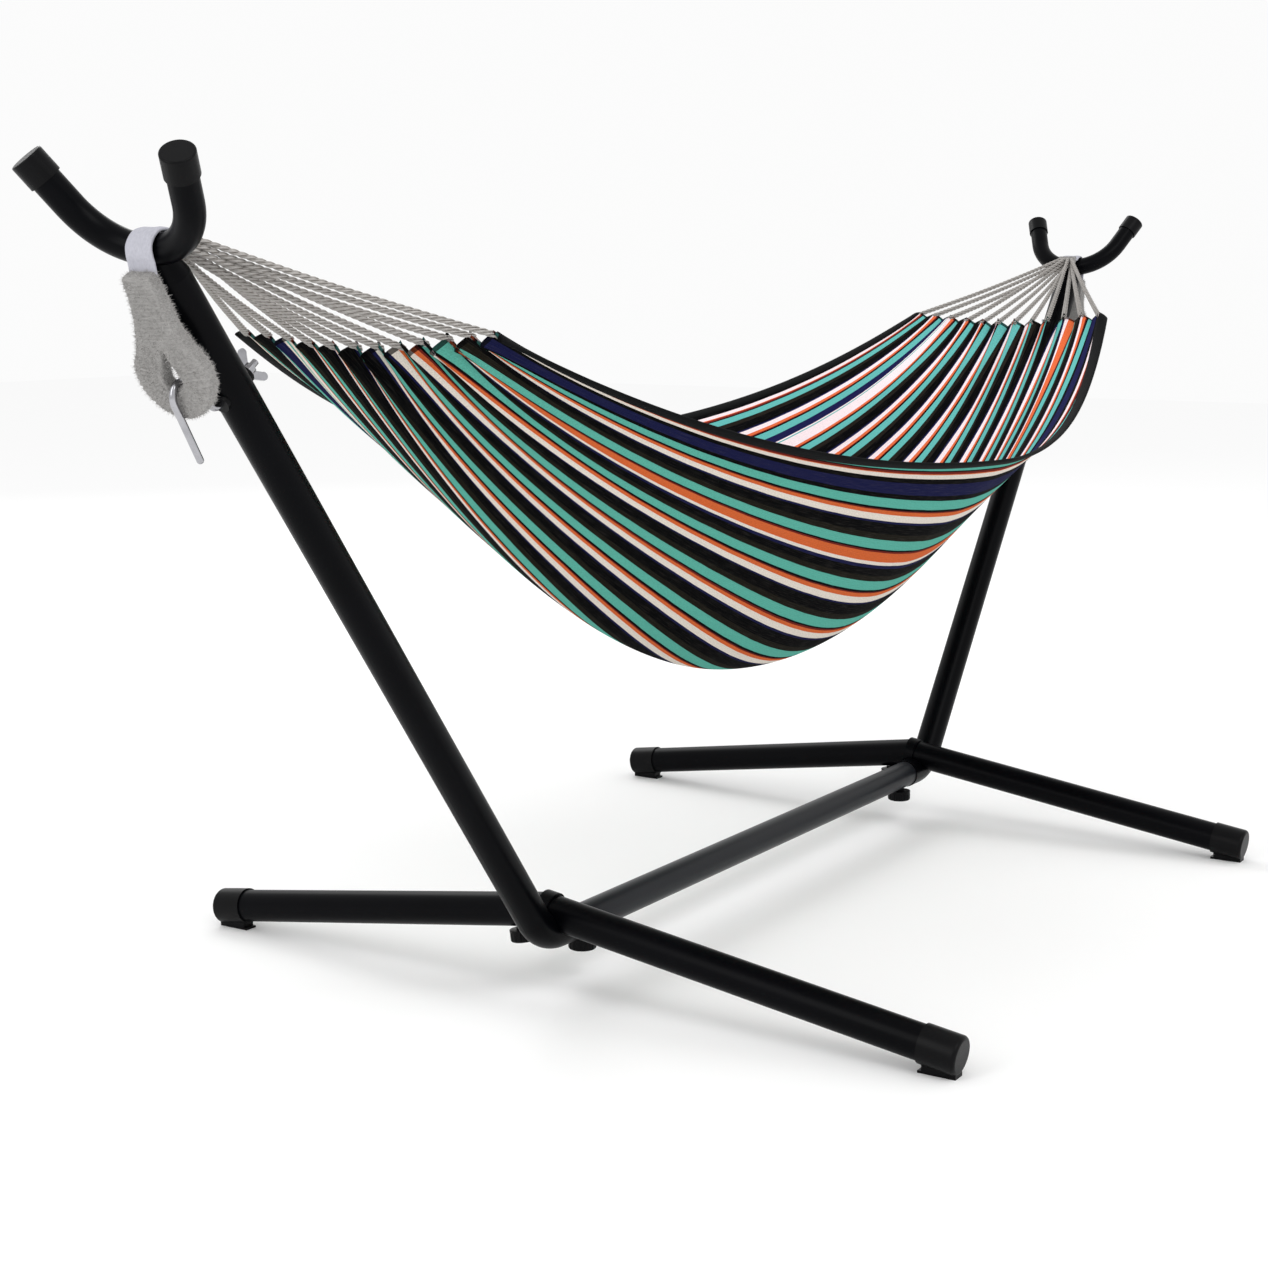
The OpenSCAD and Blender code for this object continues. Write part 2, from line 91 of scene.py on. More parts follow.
# %% camera
cam_data = bpy.data.cameras.new("camera")
cam_data.lens, cam_data.sensor_width, cam_data.shift_y = 61.47, 36.0, -0.113
cam_data.clip_start, cam_data.clip_end = 0.05, 60
camera = bpy.data.objects.new("camera", cam_data)
bpy.context.scene.collection.objects.link(camera)
yaw, pitch, roll = 1.0118, -0.096, 0.0019
look = Vector((math.sin(yaw) * math.cos(pitch), math.cos(yaw) * math.cos(pitch), math.sin(pitch)))
side = Vector((math.cos(yaw), -math.sin(yaw), 0))
head = side.cross(look)
side, head = side * math.cos(roll) + head * math.sin(roll), head * math.cos(roll) - side * math.sin(roll)
turn = Matrix((side, head, -look)).transposed().to_4x4()
camera.matrix_world = Matrix.Translation((-2.857, -1.557, 0.929)) @ turn
bpy.context.scene.camera = camera
print("camera at", [round(c, 3) for c in camera.location])

# %% [markdown]
# ## Writing materials as expressions
# A finish is easier to read as a line of arithmetic than as a web of nodes. `Sock` wraps one output socket and turns
# `+`, `*` and the rest into Math nodes. `Finish` starts a material, and its `node` method makes any other node.

# %% a small shader language
class Sock:
    def __init__(self, finish, socket):
        self.finish, self.socket = finish, socket

    def math(self, operation, *others):
        return self.finish.node("ShaderNodeMath", {"operation": operation}, [self, *others])

    def __add__(self, o): return self.math("ADD", o)
    def __radd__(self, o): return self.math("ADD", o)
    def __mul__(self, o): return self.math("MULTIPLY", o)
    def __rmul__(self, o): return self.math("MULTIPLY", o)
    def __sub__(self, o): return self.math("SUBTRACT", o)
    def __rsub__(self, o): return self.finish.node("ShaderNodeMath", {"operation": "SUBTRACT"}, [o, self])
    def __truediv__(self, o): return self.math("DIVIDE", o)

    def clamp(self):
        return self.math("MAXIMUM", 0.0).math("MINIMUM", 1.0)


class Finish:
    def __init__(self, name, base, roughness, metallic=0.0, **constants):
        self.material = bpy.data.materials.new(name)
        self.material.use_nodes = True
        self.tree = self.material.node_tree
        self.shader = self.tree.nodes["Principled BSDF"]
        self.material.diffuse_color = (*base, 1)
        self.set("Base Color", (*base, 1))
        self.set("Roughness", roughness)
        self.set("Metallic", metallic)
        for key, value in constants.items():
            self.set(key.replace("_", " "), value)

    def set(self, name, value):
        if isinstance(value, Sock):
            self.tree.links.new(value.socket, self.shader.inputs[name])
        else:
            self.shader.inputs[name].default_value = value

    def node(self, kind, settings=None, inputs=(), output=0):
        """Makes a node, sets its settings first, then its inputs, and returns one of its outputs."""
        made = self.tree.nodes.new(kind)
        for key, value in (settings or {}).items():
            if key == "stops":
                ramp = made.color_ramp
                while len(ramp.elements) < len(value):
                    ramp.elements.new(1.0)
                for element, (place, colour) in zip(ramp.elements, value):
                    element.position, element.color = place, (*colour, 1)
            elif key == "interpolation":
                made.color_ramp.interpolation = value
            else:
                setattr(made, key, value)
        pairs = inputs.items() if isinstance(inputs, dict) else enumerate(inputs)
        for key, value in pairs:
            if value is None:
                continue
            if isinstance(value, Sock):
                self.tree.links.new(value.socket, made.inputs[key])
            else:
                made.inputs[key].default_value = value
        return Sock(self, made.outputs[output])

    def place(self):
        return self.node("ShaderNodeTexCoord", output="Object")

    def attribute(self, name):
        return self.node("ShaderNodeAttribute", {"attribute_name": name}, output="Fac")

    def noise(self, scale, detail=3.0, where=None, stretch=None):
        where = where or self.place()
        if stretch:
            where = self.node("ShaderNodeMapping", inputs={0: where, 3: stretch})
        return self.node("ShaderNodeTexNoise", inputs={"Vector": where, "Scale": scale, "Detail": detail,
                                                       "Roughness": 0.55}, output="Fac")

    def mix(self, share, a, b):
        """Colours a to b by share."""
        a, b = ((*value, 1) if isinstance(value, tuple) else value for value in (a, b))
        return self.node("ShaderNodeMix", {"data_type": "RGBA"}, {0: share, 6: a, 7: b}, output=2)

    def bump(self, height, distance, strength=1.0):
        self.set("Normal", self.node("ShaderNodeBump", inputs={"Strength": strength, "Distance": distance,
                                                              "Height": height}))


# %% [markdown]
# ## Powder coat
# The tubes are sprayed with a dry powder and baked. The skin is satin, with a very fine orange-peel and a faint,
# uneven cloud of dust. The gloss is low, so only the lamps leave a soft blue-grey streak along each tube.

# %% powder-coated steel
def powder_coat(name, base, dusty, shine, gleam):
    f = Finish(name, base, shine, 0.0, Specular_IOR_Level=gleam)
    peel = f.noise(900, 2)
    cloud = f.noise(7, 4)
    f.set("Base Color", f.mix((cloud - 0.42).clamp() * 1.6, base, dusty))
    f.set("Roughness", cloud * 0.12 + peel * 0.06 + (shine - 0.09))
    f.bump(peel, 0.00012, 0.35)
    return f.material


stand_paint = powder_coat("satin_black_powder_coat", (0.0009, 0.0010, 0.0016), (0.0018, 0.0020, 0.0032), 0.33, 0.055)
beam_paint = powder_coat("beam_powder_coat", (0.0085, 0.0095, 0.0120), (0.0140, 0.0155, 0.0190), 0.36, 0.14)

# %% [markdown]
# ## Black plastic and plated steel
# Caps, spacers and knobs are moulded in black nylon with a fine spark-eroded grain. Hooks and wing nuts are plated
# and polished, with fine drawing marks and a slight uneven haze.

# %% moulded plastic and bright plate
def moulded_plastic():
    f = Finish("moulded_black_nylon", (0.0022, 0.0022, 0.0026), 0.36, Specular_IOR_Level=0.09)
    grain = f.noise(1500, 2)
    haze = f.noise(30, 3)
    f.set("Base Color", f.mix(haze, (0.0015, 0.0015, 0.0018), (0.0040, 0.0040, 0.0046)))
    f.set("Roughness", haze * 0.16 + 0.26)
    f.bump(grain, 0.00015, 0.4)
    return f.material


def bright_plate():
    f = Finish("bright_plated_steel", (0.40, 0.40, 0.42), 0.16, 1.0)
    haze = f.noise(60, 4)
    drawn = f.noise(40, 3, stretch=(60, 60, 6))
    f.set("Base Color", f.mix(haze, (0.48, 0.48, 0.50), (0.28, 0.28, 0.30)))
    f.set("Roughness", haze * 0.12 + drawn * 0.08 + 0.06)
    f.bump(drawn, 0.00006, 0.25)
    return f.material


nylon = moulded_plastic()
plate = bright_plate()

# %% dress the stand's own parts
FINISH_OF = {"frame_paint": stand_paint, "beam_paint": beam_paint, "black_plastic": nylon, "plated_steel": plate}
slot_of = {part["node"]: part["material_slot"] for part in frame["record"]["subparts"]}
for name, node in NODES.items():
    material = FINISH_OF.get(slot_of[name], plate)
    if not node.material_slots:
        node.data.materials.append(material)
    for slot in node.material_slots:
        slot.material = material
    bpy.context.view_layer.update()
print("finished", len(NODES), "stand parts")

# %% [markdown]
# ## Keeping pieces tidy
# A finished piece sits at the origin with its place in its mesh. These helpers turn lists of points into an object,
# mirror a right-hand piece for the left end, and give it to the body that carries it.

# %% making pieces
def new_piece(name, verts, faces, material):
    mesh = bpy.data.meshes.new(name)
    mesh.from_pydata([tuple(v) for v in verts], [], faces)
    mesh.materials.append(material)
    mesh.validate()
    mesh.shade_smooth()
    piece = bpy.data.objects.new(name, mesh)
    bpy.context.scene.collection.objects.link(piece)
    return piece


def face_outwards(piece):
    bm = bmesh.new()
    bm.from_mesh(piece.data)
    bmesh.ops.remove_doubles(bm, verts=bm.verts, dist=1e-6)
    bmesh.ops.recalc_face_normals(bm, faces=bm.faces)
    bm.to_mesh(piece.data)
    bm.free()
    return piece


def mirrored(piece, name):
    """A copy of the piece for the other end, with its faces turned back the right way."""
    twin = piece.copy()
    twin.data = piece.data.copy()
    twin.name = twin.data.name = name
    bpy.context.scene.collection.objects.link(twin)
    twin.data.transform(Matrix.Scale(-1, 4, (1, 0, 0)))
    twin.data.flip_normals()
    core = twin.data.attributes.get("core")
    if core:
        for value in core.data:
            value.vector = (-value.vector[0], value.vector[1], value.vector[2])
    return twin


def frozen(piece):
    """The piece with its modifiers worked into a plain mesh."""
    bpy.context.view_layer.update()
    graph = bpy.context.evaluated_depsgraph_get()
    mesh = bpy.data.meshes.new_from_object(piece.evaluated_get(graph))
    piece.modifiers.clear()
    old = piece.data
    done = bpy.data.objects.new(piece.name, mesh)
    bpy.context.scene.collection.objects.link(done)
    bpy.data.objects.remove(piece)
    mesh.name = done.name
    if isinstance(old, bpy.types.Mesh) and not old.users:
        bpy.data.meshes.remove(old)
    return done


def triangles(piece):
    piece.data.calc_loop_triangles()
    return len(piece.data.loop_triangles)


# %% [markdown]
# ## Growing trees of geometry nodes
# Ropes and fuzz repeat, so a node tree makes each of them. `Tree` keeps the building short: it adds named inputs,
# makes nodes, and ends every tree in Realize Instances and Set Material so that the export keeps the result.

# %% a short way to build a geometry tree
class Tree:
    def __init__(self, name):
        self.group = bpy.data.node_groups.new(name, "GeometryNodeTree")
        self.face = self.group.interface
        self.face.new_socket("Geometry", in_out="INPUT", socket_type="NodeSocketGeometry")
        self.face.new_socket("Geometry", in_out="OUTPUT", socket_type="NodeSocketGeometry")
        self.ins = self.group.nodes.new("NodeGroupInput")
        self.values = {}

    def size(self, name, value, kind="Float"):
        socket = self.face.new_socket(name, in_out="INPUT", socket_type="NodeSocket" + kind)
        socket.default_value = value
        self.values[name] = (socket.identifier, value)
        return self.ins.outputs[name]

    def node(self, kind, inputs=None, output=0, **settings):
        made = self.group.nodes.new(kind)
        for key, value in settings.items():
            setattr(made, key, value)
        for key, value in (inputs or {}).items():
            if isinstance(value, bpy.types.NodeSocket):
                self.group.links.new(value, made.inputs[key])
            else:
                made.inputs[key].default_value = value
        return made.outputs[output]

    def maths(self, operation, a, b=0.0):
        return self.node("ShaderNodeMath", {0: a, 1: b}, operation=operation)

    def finish(self, geometry, material):
        real = self.node("GeometryNodeRealizeInstances", {0: geometry})
        dressed = self.node("GeometryNodeSetMaterial", {"Geometry": real, "Material": material})
        end = self.group.nodes.new("NodeGroupOutput")
        self.group.links.new(dressed, end.inputs[0])
        return self

    def grow(self, piece):
        """Puts the tree on a piece, sets its named sizes, and works it into a plain mesh."""
        modifier = piece.modifiers.new("grow", "NODES")
        modifier.node_group = self.group
        for identifier, value in self.values.values():
            modifier[identifier] = value
        return frozen(piece)


# %% [markdown]
# ## The cloth's stripes
# The cloth is woven with its stripes in the warp, so they run the whole length and gather with it at the ends. One
# repeat is teal, a thin black line, rust, cream and a wide dark band, and a few repeats differ. The stripes follow
# the width of the flat cloth, which is kept on the mesh as a UV map. The inner face is painted paler: painted light
# for the brighter light that falls into the bed's hollow.

# %% the order of the stripes, in shares of one repeat
TEAL, RUST, CREAM = (0.105, 0.430, 0.345), (0.640, 0.130, 0.036), (0.78, 0.71, 0.63)
NAVY, BLACK, CHARCOAL = (0.0090, 0.0105, 0.052), (0.0012, 0.0014, 0.0016), (0.0120, 0.0105, 0.0070)
OXBLOOD = (0.16, 0.018, 0.012)
PLAIN = [(0.23, TEAL), (0.05, BLACK), (0.03, OXBLOOD), (0.09, RUST),
         (0.15, CREAM), (0.05, NAVY), (0.26, BLACK), (0.14, CHARCOAL)]
WIDE_RUST = [(0.22, TEAL), (0.05, BLACK), (0.03, OXBLOOD), (0.23, RUST),
             (0.08, CREAM), (0.07, NAVY), (0.19, BLACK), (0.13, CHARCOAL)]
WIDE_NAVY = [(0.20, TEAL), (0.04, BLACK), (0.06, OXBLOOD), (0.03, RUST),
             (0.12, CREAM), (0.13, BLACK), (0.30, NAVY), (0.12, BLACK)]
WIDE_CREAM = [(0.20, TEAL), (0.05, BLACK), (0.03, OXBLOOD), (0.07, RUST),
              (0.34, CREAM), (0.04, TEAL), (0.04, CREAM), (0.23, NAVY)]
REPEATS = [WIDE_NAVY, PLAIN, WIDE_RUST] + [PLAIN] * 7 + [WIDE_CREAM, PLAIN, WIDE_NAVY]
FIRST_STRIPE, REPEAT_WIDTH = 0.0045, 0.0775
BINDING = 0.012


def stripe_list():
    """Every stripe across the cloth: where it starts, from 0 to 1, and its colour."""
    place, stripes = FIRST_STRIPE, [(0.0, BLACK)]
    for repeat in REPEATS:
        for share, colour in repeat:
            stripes.append((place, colour))
            place += share * REPEAT_WIDTH
    return stripes


print(len(stripe_list()), "stripes across the cloth")

# %% [markdown]
# ## The woven finish
# A colour ramp holds at most 32 stops, so the stripes are split over several ramps that hand over to each other.
# On top of them comes the weave: fine ribs both ways, a slub here and there, and small dark flecks in the yarn.

# %% woven cotton
RAMP_STOPS = 28


def striped_cotton():
    f = Finish("striped_woven_cotton", TEAL, 0.9, Specular_IOR_Level=0.02)
    uv = f.node("ShaderNodeUVMap", {"uv_map": "cloth"})
    width = f.node("ShaderNodeSeparateXYZ", inputs=[uv])
    length = Sock(f, width.socket.node.outputs[1])
    wobble = f.noise(3.5, 2, where=uv, stretch=(0.4, 9.0, 1.0))
    place = width + (wobble - 0.5) * 0.0016
    stripes = stripe_list()
    colour = None
    for start in range(0, len(stripes), RAMP_STOPS):
        part = stripes[start:start + RAMP_STOPS]
        low = part[0][0]
        high = stripes[start + RAMP_STOPS][0] if start + RAMP_STOPS < len(stripes) else 1.0
        stops = [((p - low) / (high - low), c) for p, c in part]
        here = f.node("ShaderNodeValToRGB", {"interpolation": "CONSTANT", "stops": stops},
                      [(place - low) / (high - low)])
        colour = here if colour is None else f.mix(place.math("GREATER_THAN", low), colour, here)
    # Painted light: the inner face, which looks up into the light, is made paler and a little bluer than the outer
    # face.
    inner = f.attribute("inner")
    painted_light_inner = f.node("ShaderNodeVectorMath", {"operation": "MULTIPLY"}, [colour, (1.38, 1.28, 1.50)])
    colour = f.mix(inner, colour, painted_light_inner)
    hem = length.math("SUBTRACT", 0.5).math("ABSOLUTE").math("GREATER_THAN", 0.4975)
    colour = f.mix(hem * 0.85, colour, BLACK)
    slub = f.noise(1.0, 3, where=uv, stretch=(900, 60, 1))
    fleck = f.noise(1.0, 2, where=uv, stretch=(500, 900, 1))
    colour = f.mix((slub - 0.5).clamp() * 0.16, colour, (0.55, 0.50, 0.45))
    shade = f.mix((fleck - 0.35).clamp() * 0.8, colour, (0.002, 0.002, 0.003))
    f.set("Base Color", shade)
    warp = (place * 1900.0).math("SINE")
    weft = (length * 3400.0).math("SINE")
    f.set("Roughness", slub * 0.12 + 0.80)
    f.bump(warp * 0.5 + weft * 0.35 + fleck * 0.8, 0.0004, 0.45)
    return f.material


cotton = striped_cotton()

# %% [markdown]
# ## The bed
# The cloth is one sheet. Its middle hangs open and its two ends are gathered on the ropes, so it has soft folds
# there, deepest at the hem, that die out towards the middle. Each fold sits between two ropes, and the hem bows
# back from rope to rope. A grid of points follows those rules, and two such grids a cloth's thickness apart make a
# closed sheet.

# %% folds and hem of the bed
ROPES = 12
ROPE_REACH = 0.94
FOLD_START, SHOULDER_FOLD, HEM_FOLD = 0.40, 0.0030, 0.0060
rope_v = [ROPE_REACH * (2 * i / (ROPES - 1) - 1) for i in range(ROPES)]


def fold_phase(v):
    """A whole number at each rope, and a half between two ropes."""
    return (v / ROPE_REACH + 1) / 2 * (ROPES - 1)


def fold_depth(t):
    """How deep the folds are: deepest at the hem, nothing past the shoulder of the bed."""
    near = max(0.0, (abs(t) - FOLD_START) / (1 - FOLD_START))
    return SHOULDER_FOLD * near ** 2 + HEM_FOLD * near ** 14


def cloth_point(t, v, layer):
    phase = fold_phase(v)
    wave = math.cos(2 * math.pi * phase)
    hem = max(0.0, (abs(t) - 0.965) / 0.035)
    bow = 0.5 - 0.5 * wave
    p = bed_point(t * (1 - 0.003 * hem * bow), v)
    step = 1e-3
    along = bed_point(min(1, t + step), v) - bed_point(max(-1, t - step), v)
    cross = bed_point(t, min(1, v + step)) - bed_point(t, max(-1, v - step))
    normal = along.cross(cross).normalized()
    drift = 0.35 * math.sin(3.1 * t + 2.0 * v) + 0.25 * math.sin(9.7 * v + 1.3)
    ripple = 0.0022 * math.sin(2 * math.pi * (1.5 * v + 0.3 * t)) * arch(t, 4) * arch(v, 6)
    depth = fold_depth(t) * (1 + drift)
    lift = depth * wave * (1 - 0.35 * abs(v)) + ripple
    curl = -0.38 * depth * math.sin(4 * math.pi * phase)
    rolled = 0.0022 + 0.0016 * hem ** 2
    return p + normal * (lift - (layer - 0.5) * rolled) + cross.normalized() * curl * (1 - abs(v) ** 8)


# The largest sway as a share of the cloth's width, and where along the bed the stripes cross their straight line.
STRIPE_SWAY, SWAY_START = 0.065, -0.2


def cloth_width_place(t, share):
    """Where a point lies across the flat cloth, from its share of the arc at this place along the bed.
    The stripes sway gently along the bed, most in the middle of its width and not at all at its edges. Woven stripes
    run straight: the sway makes up for a bed whose shape is only an estimate."""
    sway = -STRIPE_SWAY * math.sin(math.pi * (t - SWAY_START))
    return share + sway * math.sin(math.pi * share)


# %% build the sheet
def make_bed():
    along_n, across_n, fine = 150, 216, 400
    verts, shares = [], []
    ts = [2 * i / along_n - 1 for i in range(along_n + 1)]
    ts = [math.copysign(abs(t) ** 0.82, t) for t in ts]
    for layer in (0, 1):
        for t in ts:
            base = [bed_point(t, 2 * j / fine - 1) for j in range(fine + 1)]
            run = np.concatenate([[0], np.cumsum([(b - a).length for a, b in zip(base, base[1:])])])
            for j in range(across_n + 1):
                v = 2 * j / across_n - 1
                share = float(np.interp((v + 1) / 2 * fine, range(fine + 1), run) / run[-1])
                verts.append(cloth_point(t, v, layer))
                shares.append((share, t))
    row = across_n + 1
    one = (along_n + 1) * row
    faces = []
    for i in range(along_n):
        for j in range(across_n):
            a = i * row + j
            faces.append((a, a + row, a + row + 1, a + 1))
            faces.append((one + a, one + a + 1, one + a + row + 1, one + a + row))
    for i in range(along_n):
        for j, flip in ((0, False), (across_n, True)):
            a, b = i * row + j, (i + 1) * row + j
            faces.append((a, one + a, one + b, b)[::-1] if flip else (a, one + a, one + b, b))
    for j in range(across_n):
        for i, flip in ((0, True), (along_n, False)):
            a, b = i * row + j, i * row + j + 1
            faces.append((a, one + a, one + b, b)[::-1] if flip else (a, one + a, one + b, b))
    piece = new_piece("bed_cloth", verts, faces, cotton)
    uv = piece.data.uv_layers.new(name="cloth")
    inner = piece.data.attributes.new("inner", "FLOAT", "POINT")
    inner.data.foreach_set("value", [1.0 if k < one else 0.0 for k in range(2 * one)])
    flat = [(cloth_width_place(t, s), (t + 1) / 2) for s, t in shares]
    flat = [((0.001 if s < BINDING or s > 1 - BINDING else w), l) for (w, l), (s, t) in zip(flat, shares)]
    for loop in piece.data.loops:
        uv.data[loop.index].uv = flat[loop.vertex_index]
    return piece


bed = make_bed()


def run_length(points):
    return sum((b - a).length for a, b in zip(points, points[1:]))


middle_width = run_length([bed_point(0, v / 100) for v in range(-100, 101)])
middle_length = run_length([bed_point(t / 100, 0) for t in range(-100, 101)])
edge_length = run_length([bed_point(t / 100, 1) for t in range(-100, 101)])
print("bed cloth:", triangles(bed), "triangles; across the middle", round(middle_width, 3), "m, along the middle",
      round(middle_length, 3), "m, along an edge", round(edge_length, 3), "m")

# %% [markdown]
# ## The bound edges
# Each long edge is folded into a black tape and sewn down. The tape is a flat tube swept along the edge, a little
# thicker than the cloth, so that it stands proud as a binding does.

# %% edge tape
def sweep(name, path, ring, material):
    """Sweeps a ring of (sideways, upwards) points along frames of (point, side, top)."""
    verts, faces, n = [], [], len(ring(0))
    for k, (point, sideways, top) in enumerate(path):
        for a, b in ring(k / (len(path) - 1)):
            verts.append(point + sideways * a + top * b)
    for k in range(len(path) - 1):
        for i in range(n):
            j = (i + 1) % n
            faces.append((k * n + i, k * n + j, (k + 1) * n + j, (k + 1) * n + i))
    faces.append(tuple(range(n))[::-1])
    faces.append(tuple((len(path) - 1) * n + i for i in range(n)))
    return face_outwards(new_piece(name, verts, faces, material))


def bound_tape_finish():
    f = Finish("black_edge_tape", (0.007, 0.008, 0.009), 0.85, Specular_IOR_Level=0.08)
    rib = f.noise(1.0, 2, stretch=(700, 200, 200))
    f.set("Base Color", f.mix(rib, (0.0012, 0.0013, 0.0016), (0.0060, 0.0065, 0.0070)))
    f.set("Roughness", rib * 0.2 + 0.72)
    f.bump(rib, 0.0004, 0.5)
    return f.material


tape = bound_tape_finish()
tapes = []
for edge_name, edge_v in (("front", -1), ("back", 1)):
    path = []
    for k in range(201):
        t = 2 * k / 200 - 1
        here, inward = cloth_point(t, edge_v, 0.5), cloth_point(t, edge_v * 0.97, 0.5)
        nxt, prev = cloth_point(min(1, t + 0.004), edge_v, 0.5), cloth_point(max(-1, t - 0.004), edge_v, 0.5)
        forward = (nxt - prev).normalized()
        sideways = (inward - here).normalized()
        sideways = (sideways - forward * sideways.dot(forward)).normalized()
        path.append((here, sideways, forward.cross(sideways)))
    outline = [(0.0095 * math.cos(a) + 0.0065, 0.0030 * math.copysign(abs(math.sin(a)) ** 0.8, math.sin(a)))
               for a in (2 * math.pi * i / 12 for i in range(12))]
    tapes.append(sweep(f"edge_tape_{edge_name}", path, lambda share: outline, tape))
print("edge tapes:", [triangles(piece) for piece in tapes])

# %% [markdown]
# ## The ropes
# Twelve ropes gather each end. Each is a bunch of five two-ply strands, three below and two above, which narrows where
# all the ropes come together at the loop. The tree takes plain centre lines, winds each into plies, gives every ply
# a round section, and closes its ends.

# %% cotton rope finish
def cotton_rope(name, light, dark):
    f = Finish(name, light, 0.88, Specular_IOR_Level=0.1)
    fibre = f.noise(1.0, 3, stretch=(160, 900, 900))
    patch = f.noise(35, 3)
    # Painted shade: where the surface lies close to the rope's centre line, in the grooves between the plies, it takes
    # the dark colour.
    core = f.node("ShaderNodeAttribute", {"attribute_name": "core"}, output="Vector")
    reach = f.node("ShaderNodeVectorMath", {"operation": "DISTANCE"}, [f.place(), core], output="Value")
    clear_of_groove_shade = ((reach - 0.0007) * 850).clamp()
    f.set("Base Color", f.mix((fibre * 0.5 + patch * 0.2 + 0.35) * clear_of_groove_shade, dark, light))
    f.set("Roughness", fibre * 0.15 + 0.78)
    f.bump(fibre, 0.0006, 0.5)
    return f.material


rope_cotton = cotton_rope("natural_cotton_rope", (0.55, 0.53, 0.51), (0.15, 0.135, 0.12))

# %% a tree that lays rope along centre lines
def rope_tree(material):
    t = Tree("lay_rope")
    radius = t.size("Ply radius", 0.00115)
    offset = t.size("Lay radius", 0.00095)
    pitch = t.size("Pitch", 0.020)
    plies = t.size("Plies", 2, "Int")
    curve = t.node("GeometryNodeMeshToCurve", {0: t.ins.outputs[0]})
    curve = t.node("GeometryNodeResampleCurve", {"Curve": curve, "Length": 0.0030}, mode="LENGTH")
    double = t.group.nodes.new("GeometryNodeDuplicateElements")
    double.domain = "SPLINE"
    t.group.links.new(curve, double.inputs["Geometry"])
    t.group.links.new(plies, double.inputs["Amount"])
    run = t.node("GeometryNodeSplineParameter", output="Length")
    turns = t.maths("DIVIDE", run, pitch)
    share = t.maths("DIVIDE", double.outputs["Duplicate Index"], plies)
    angle = t.maths("MULTIPLY", t.maths("ADD", turns, share), 2 * math.pi)
    normal = t.node("GeometryNodeInputNormal")
    tangent = t.node("GeometryNodeInputTangent")
    other = t.node("ShaderNodeVectorMath", {0: tangent, 1: normal}, operation="CROSS_PRODUCT")
    a = t.node("ShaderNodeVectorMath", {0: normal, "Scale": t.maths("MULTIPLY", offset, t.maths("COSINE", angle))},
               operation="SCALE")
    b = t.node("ShaderNodeVectorMath", {0: other, "Scale": t.maths("MULTIPLY", offset, t.maths("SINE", angle))},
               operation="SCALE")
    move = t.node("ShaderNodeVectorMath", {0: a, 1: b}, operation="ADD")
    marked = t.node("GeometryNodeStoreNamedAttribute",
                    {"Geometry": double.outputs["Geometry"], "Name": "core",
                     "Value": t.node("GeometryNodeInputPosition")},
                    data_type="FLOAT_VECTOR", domain="POINT")
    wound = t.node("GeometryNodeSetPosition", {"Geometry": marked, "Offset": move})
    section = t.node("GeometryNodeCurvePrimitiveCircle", {"Resolution": 5, "Radius": radius})
    body = t.node("GeometryNodeCurveToMesh", {"Curve": wound, "Profile Curve": section, "Fill Caps": True})
    smooth = t.node("GeometryNodeSetShadeSmooth", {0: body})
    return t.finish(smooth, material)


rope_layer = rope_tree(rope_cotton)


def centre_lines(name, lines):
    """An object of bare edges, one chain for each line of points."""
    verts, edges = [], []
    for line in lines:
        edges += [(len(verts) + k, len(verts) + k + 1) for k in range(len(line) - 1)]
        verts += [tuple(p) for p in line]
    mesh = bpy.data.meshes.new(name)
    mesh.from_pydata(verts, edges, [])
    piece = bpy.data.objects.new(name, mesh)
    bpy.context.scene.collection.objects.link(piece)
    return piece


# %% the ropes of one end
BUNCH = [(-1.1, -0.5), (0, -0.6), (1.1, -0.5), (-0.55, 0.5), (0.55, 0.5)]


def rope_lines():
    lines = []
    for i, v in enumerate(rope_v):
        level = 1 - i % 3 if i < ROPES / 2 else i % 3 - 1
        column = i // 3 - (ROPES / 3 - 1) / 2
        start = Vector((cord_start_x - 0.002, column * 0.007, swing_height + level * 0.0065))
        end = cloth_point(0.992, v, 0.5)
        ahead = (cloth_point(0.992, min(1, v + 0.03), 0.5) - cloth_point(0.992, max(-1, v - 0.03), 0.5)).normalized()
        over = ahead.cross(end - start).normalized()
        for beside, above in BUNCH:
            line = []
            for k in range(13):
                s = k / 12
                spread = 0.0016 + 0.0014 * s
                sag = Vector((0, 0, -0.004 * math.sin(math.pi * s)))
                line.append(start.lerp(end, s) + (ahead * beside + over * above) * spread + sag)
            lines.append(line)
    return lines


right_ropes = rope_layer.grow(centre_lines("right_ropes", rope_lines()))
left_ropes = mirrored(right_ropes, "left_ropes")
print("ropes of one end:", triangles(right_ropes), "triangles")

# %% [markdown]
# ## The hanging loops
# All the ropes of an end run into a flat cotton strap, which passes over the fork's saddle and down the outside. There
# it is whipped with yarn into a thick furry noose, and the hook goes through its eye. The noose starts as a flat plate
# with a hole, cut to shape; a voxel remesh and some smoothing round it, and its surface is then moved into rows.

# %% the noose's flat shape, in metres down from the saddle and across
LOOP_TOP, LOOP_TILT, LOOP_THICK = 0.0302, math.radians(11.75), 0.0155
LOOP_DOWN = out * math.sin(LOOP_TILT) - up * math.cos(LOOP_TILT)
LOOP_FACE = out * math.cos(LOOP_TILT) + up * math.sin(LOOP_TILT)
RING_DOWN, RING_R, EYE_DOWN, EYE_R, EYE_TOP = 0.11725, 0.048, 0.12125, 0.0122, 0.0855


def on_loop(down, y, height):
    return saddle + out * LOOP_TOP + LOOP_DOWN * down + across * y + LOOP_FACE * height


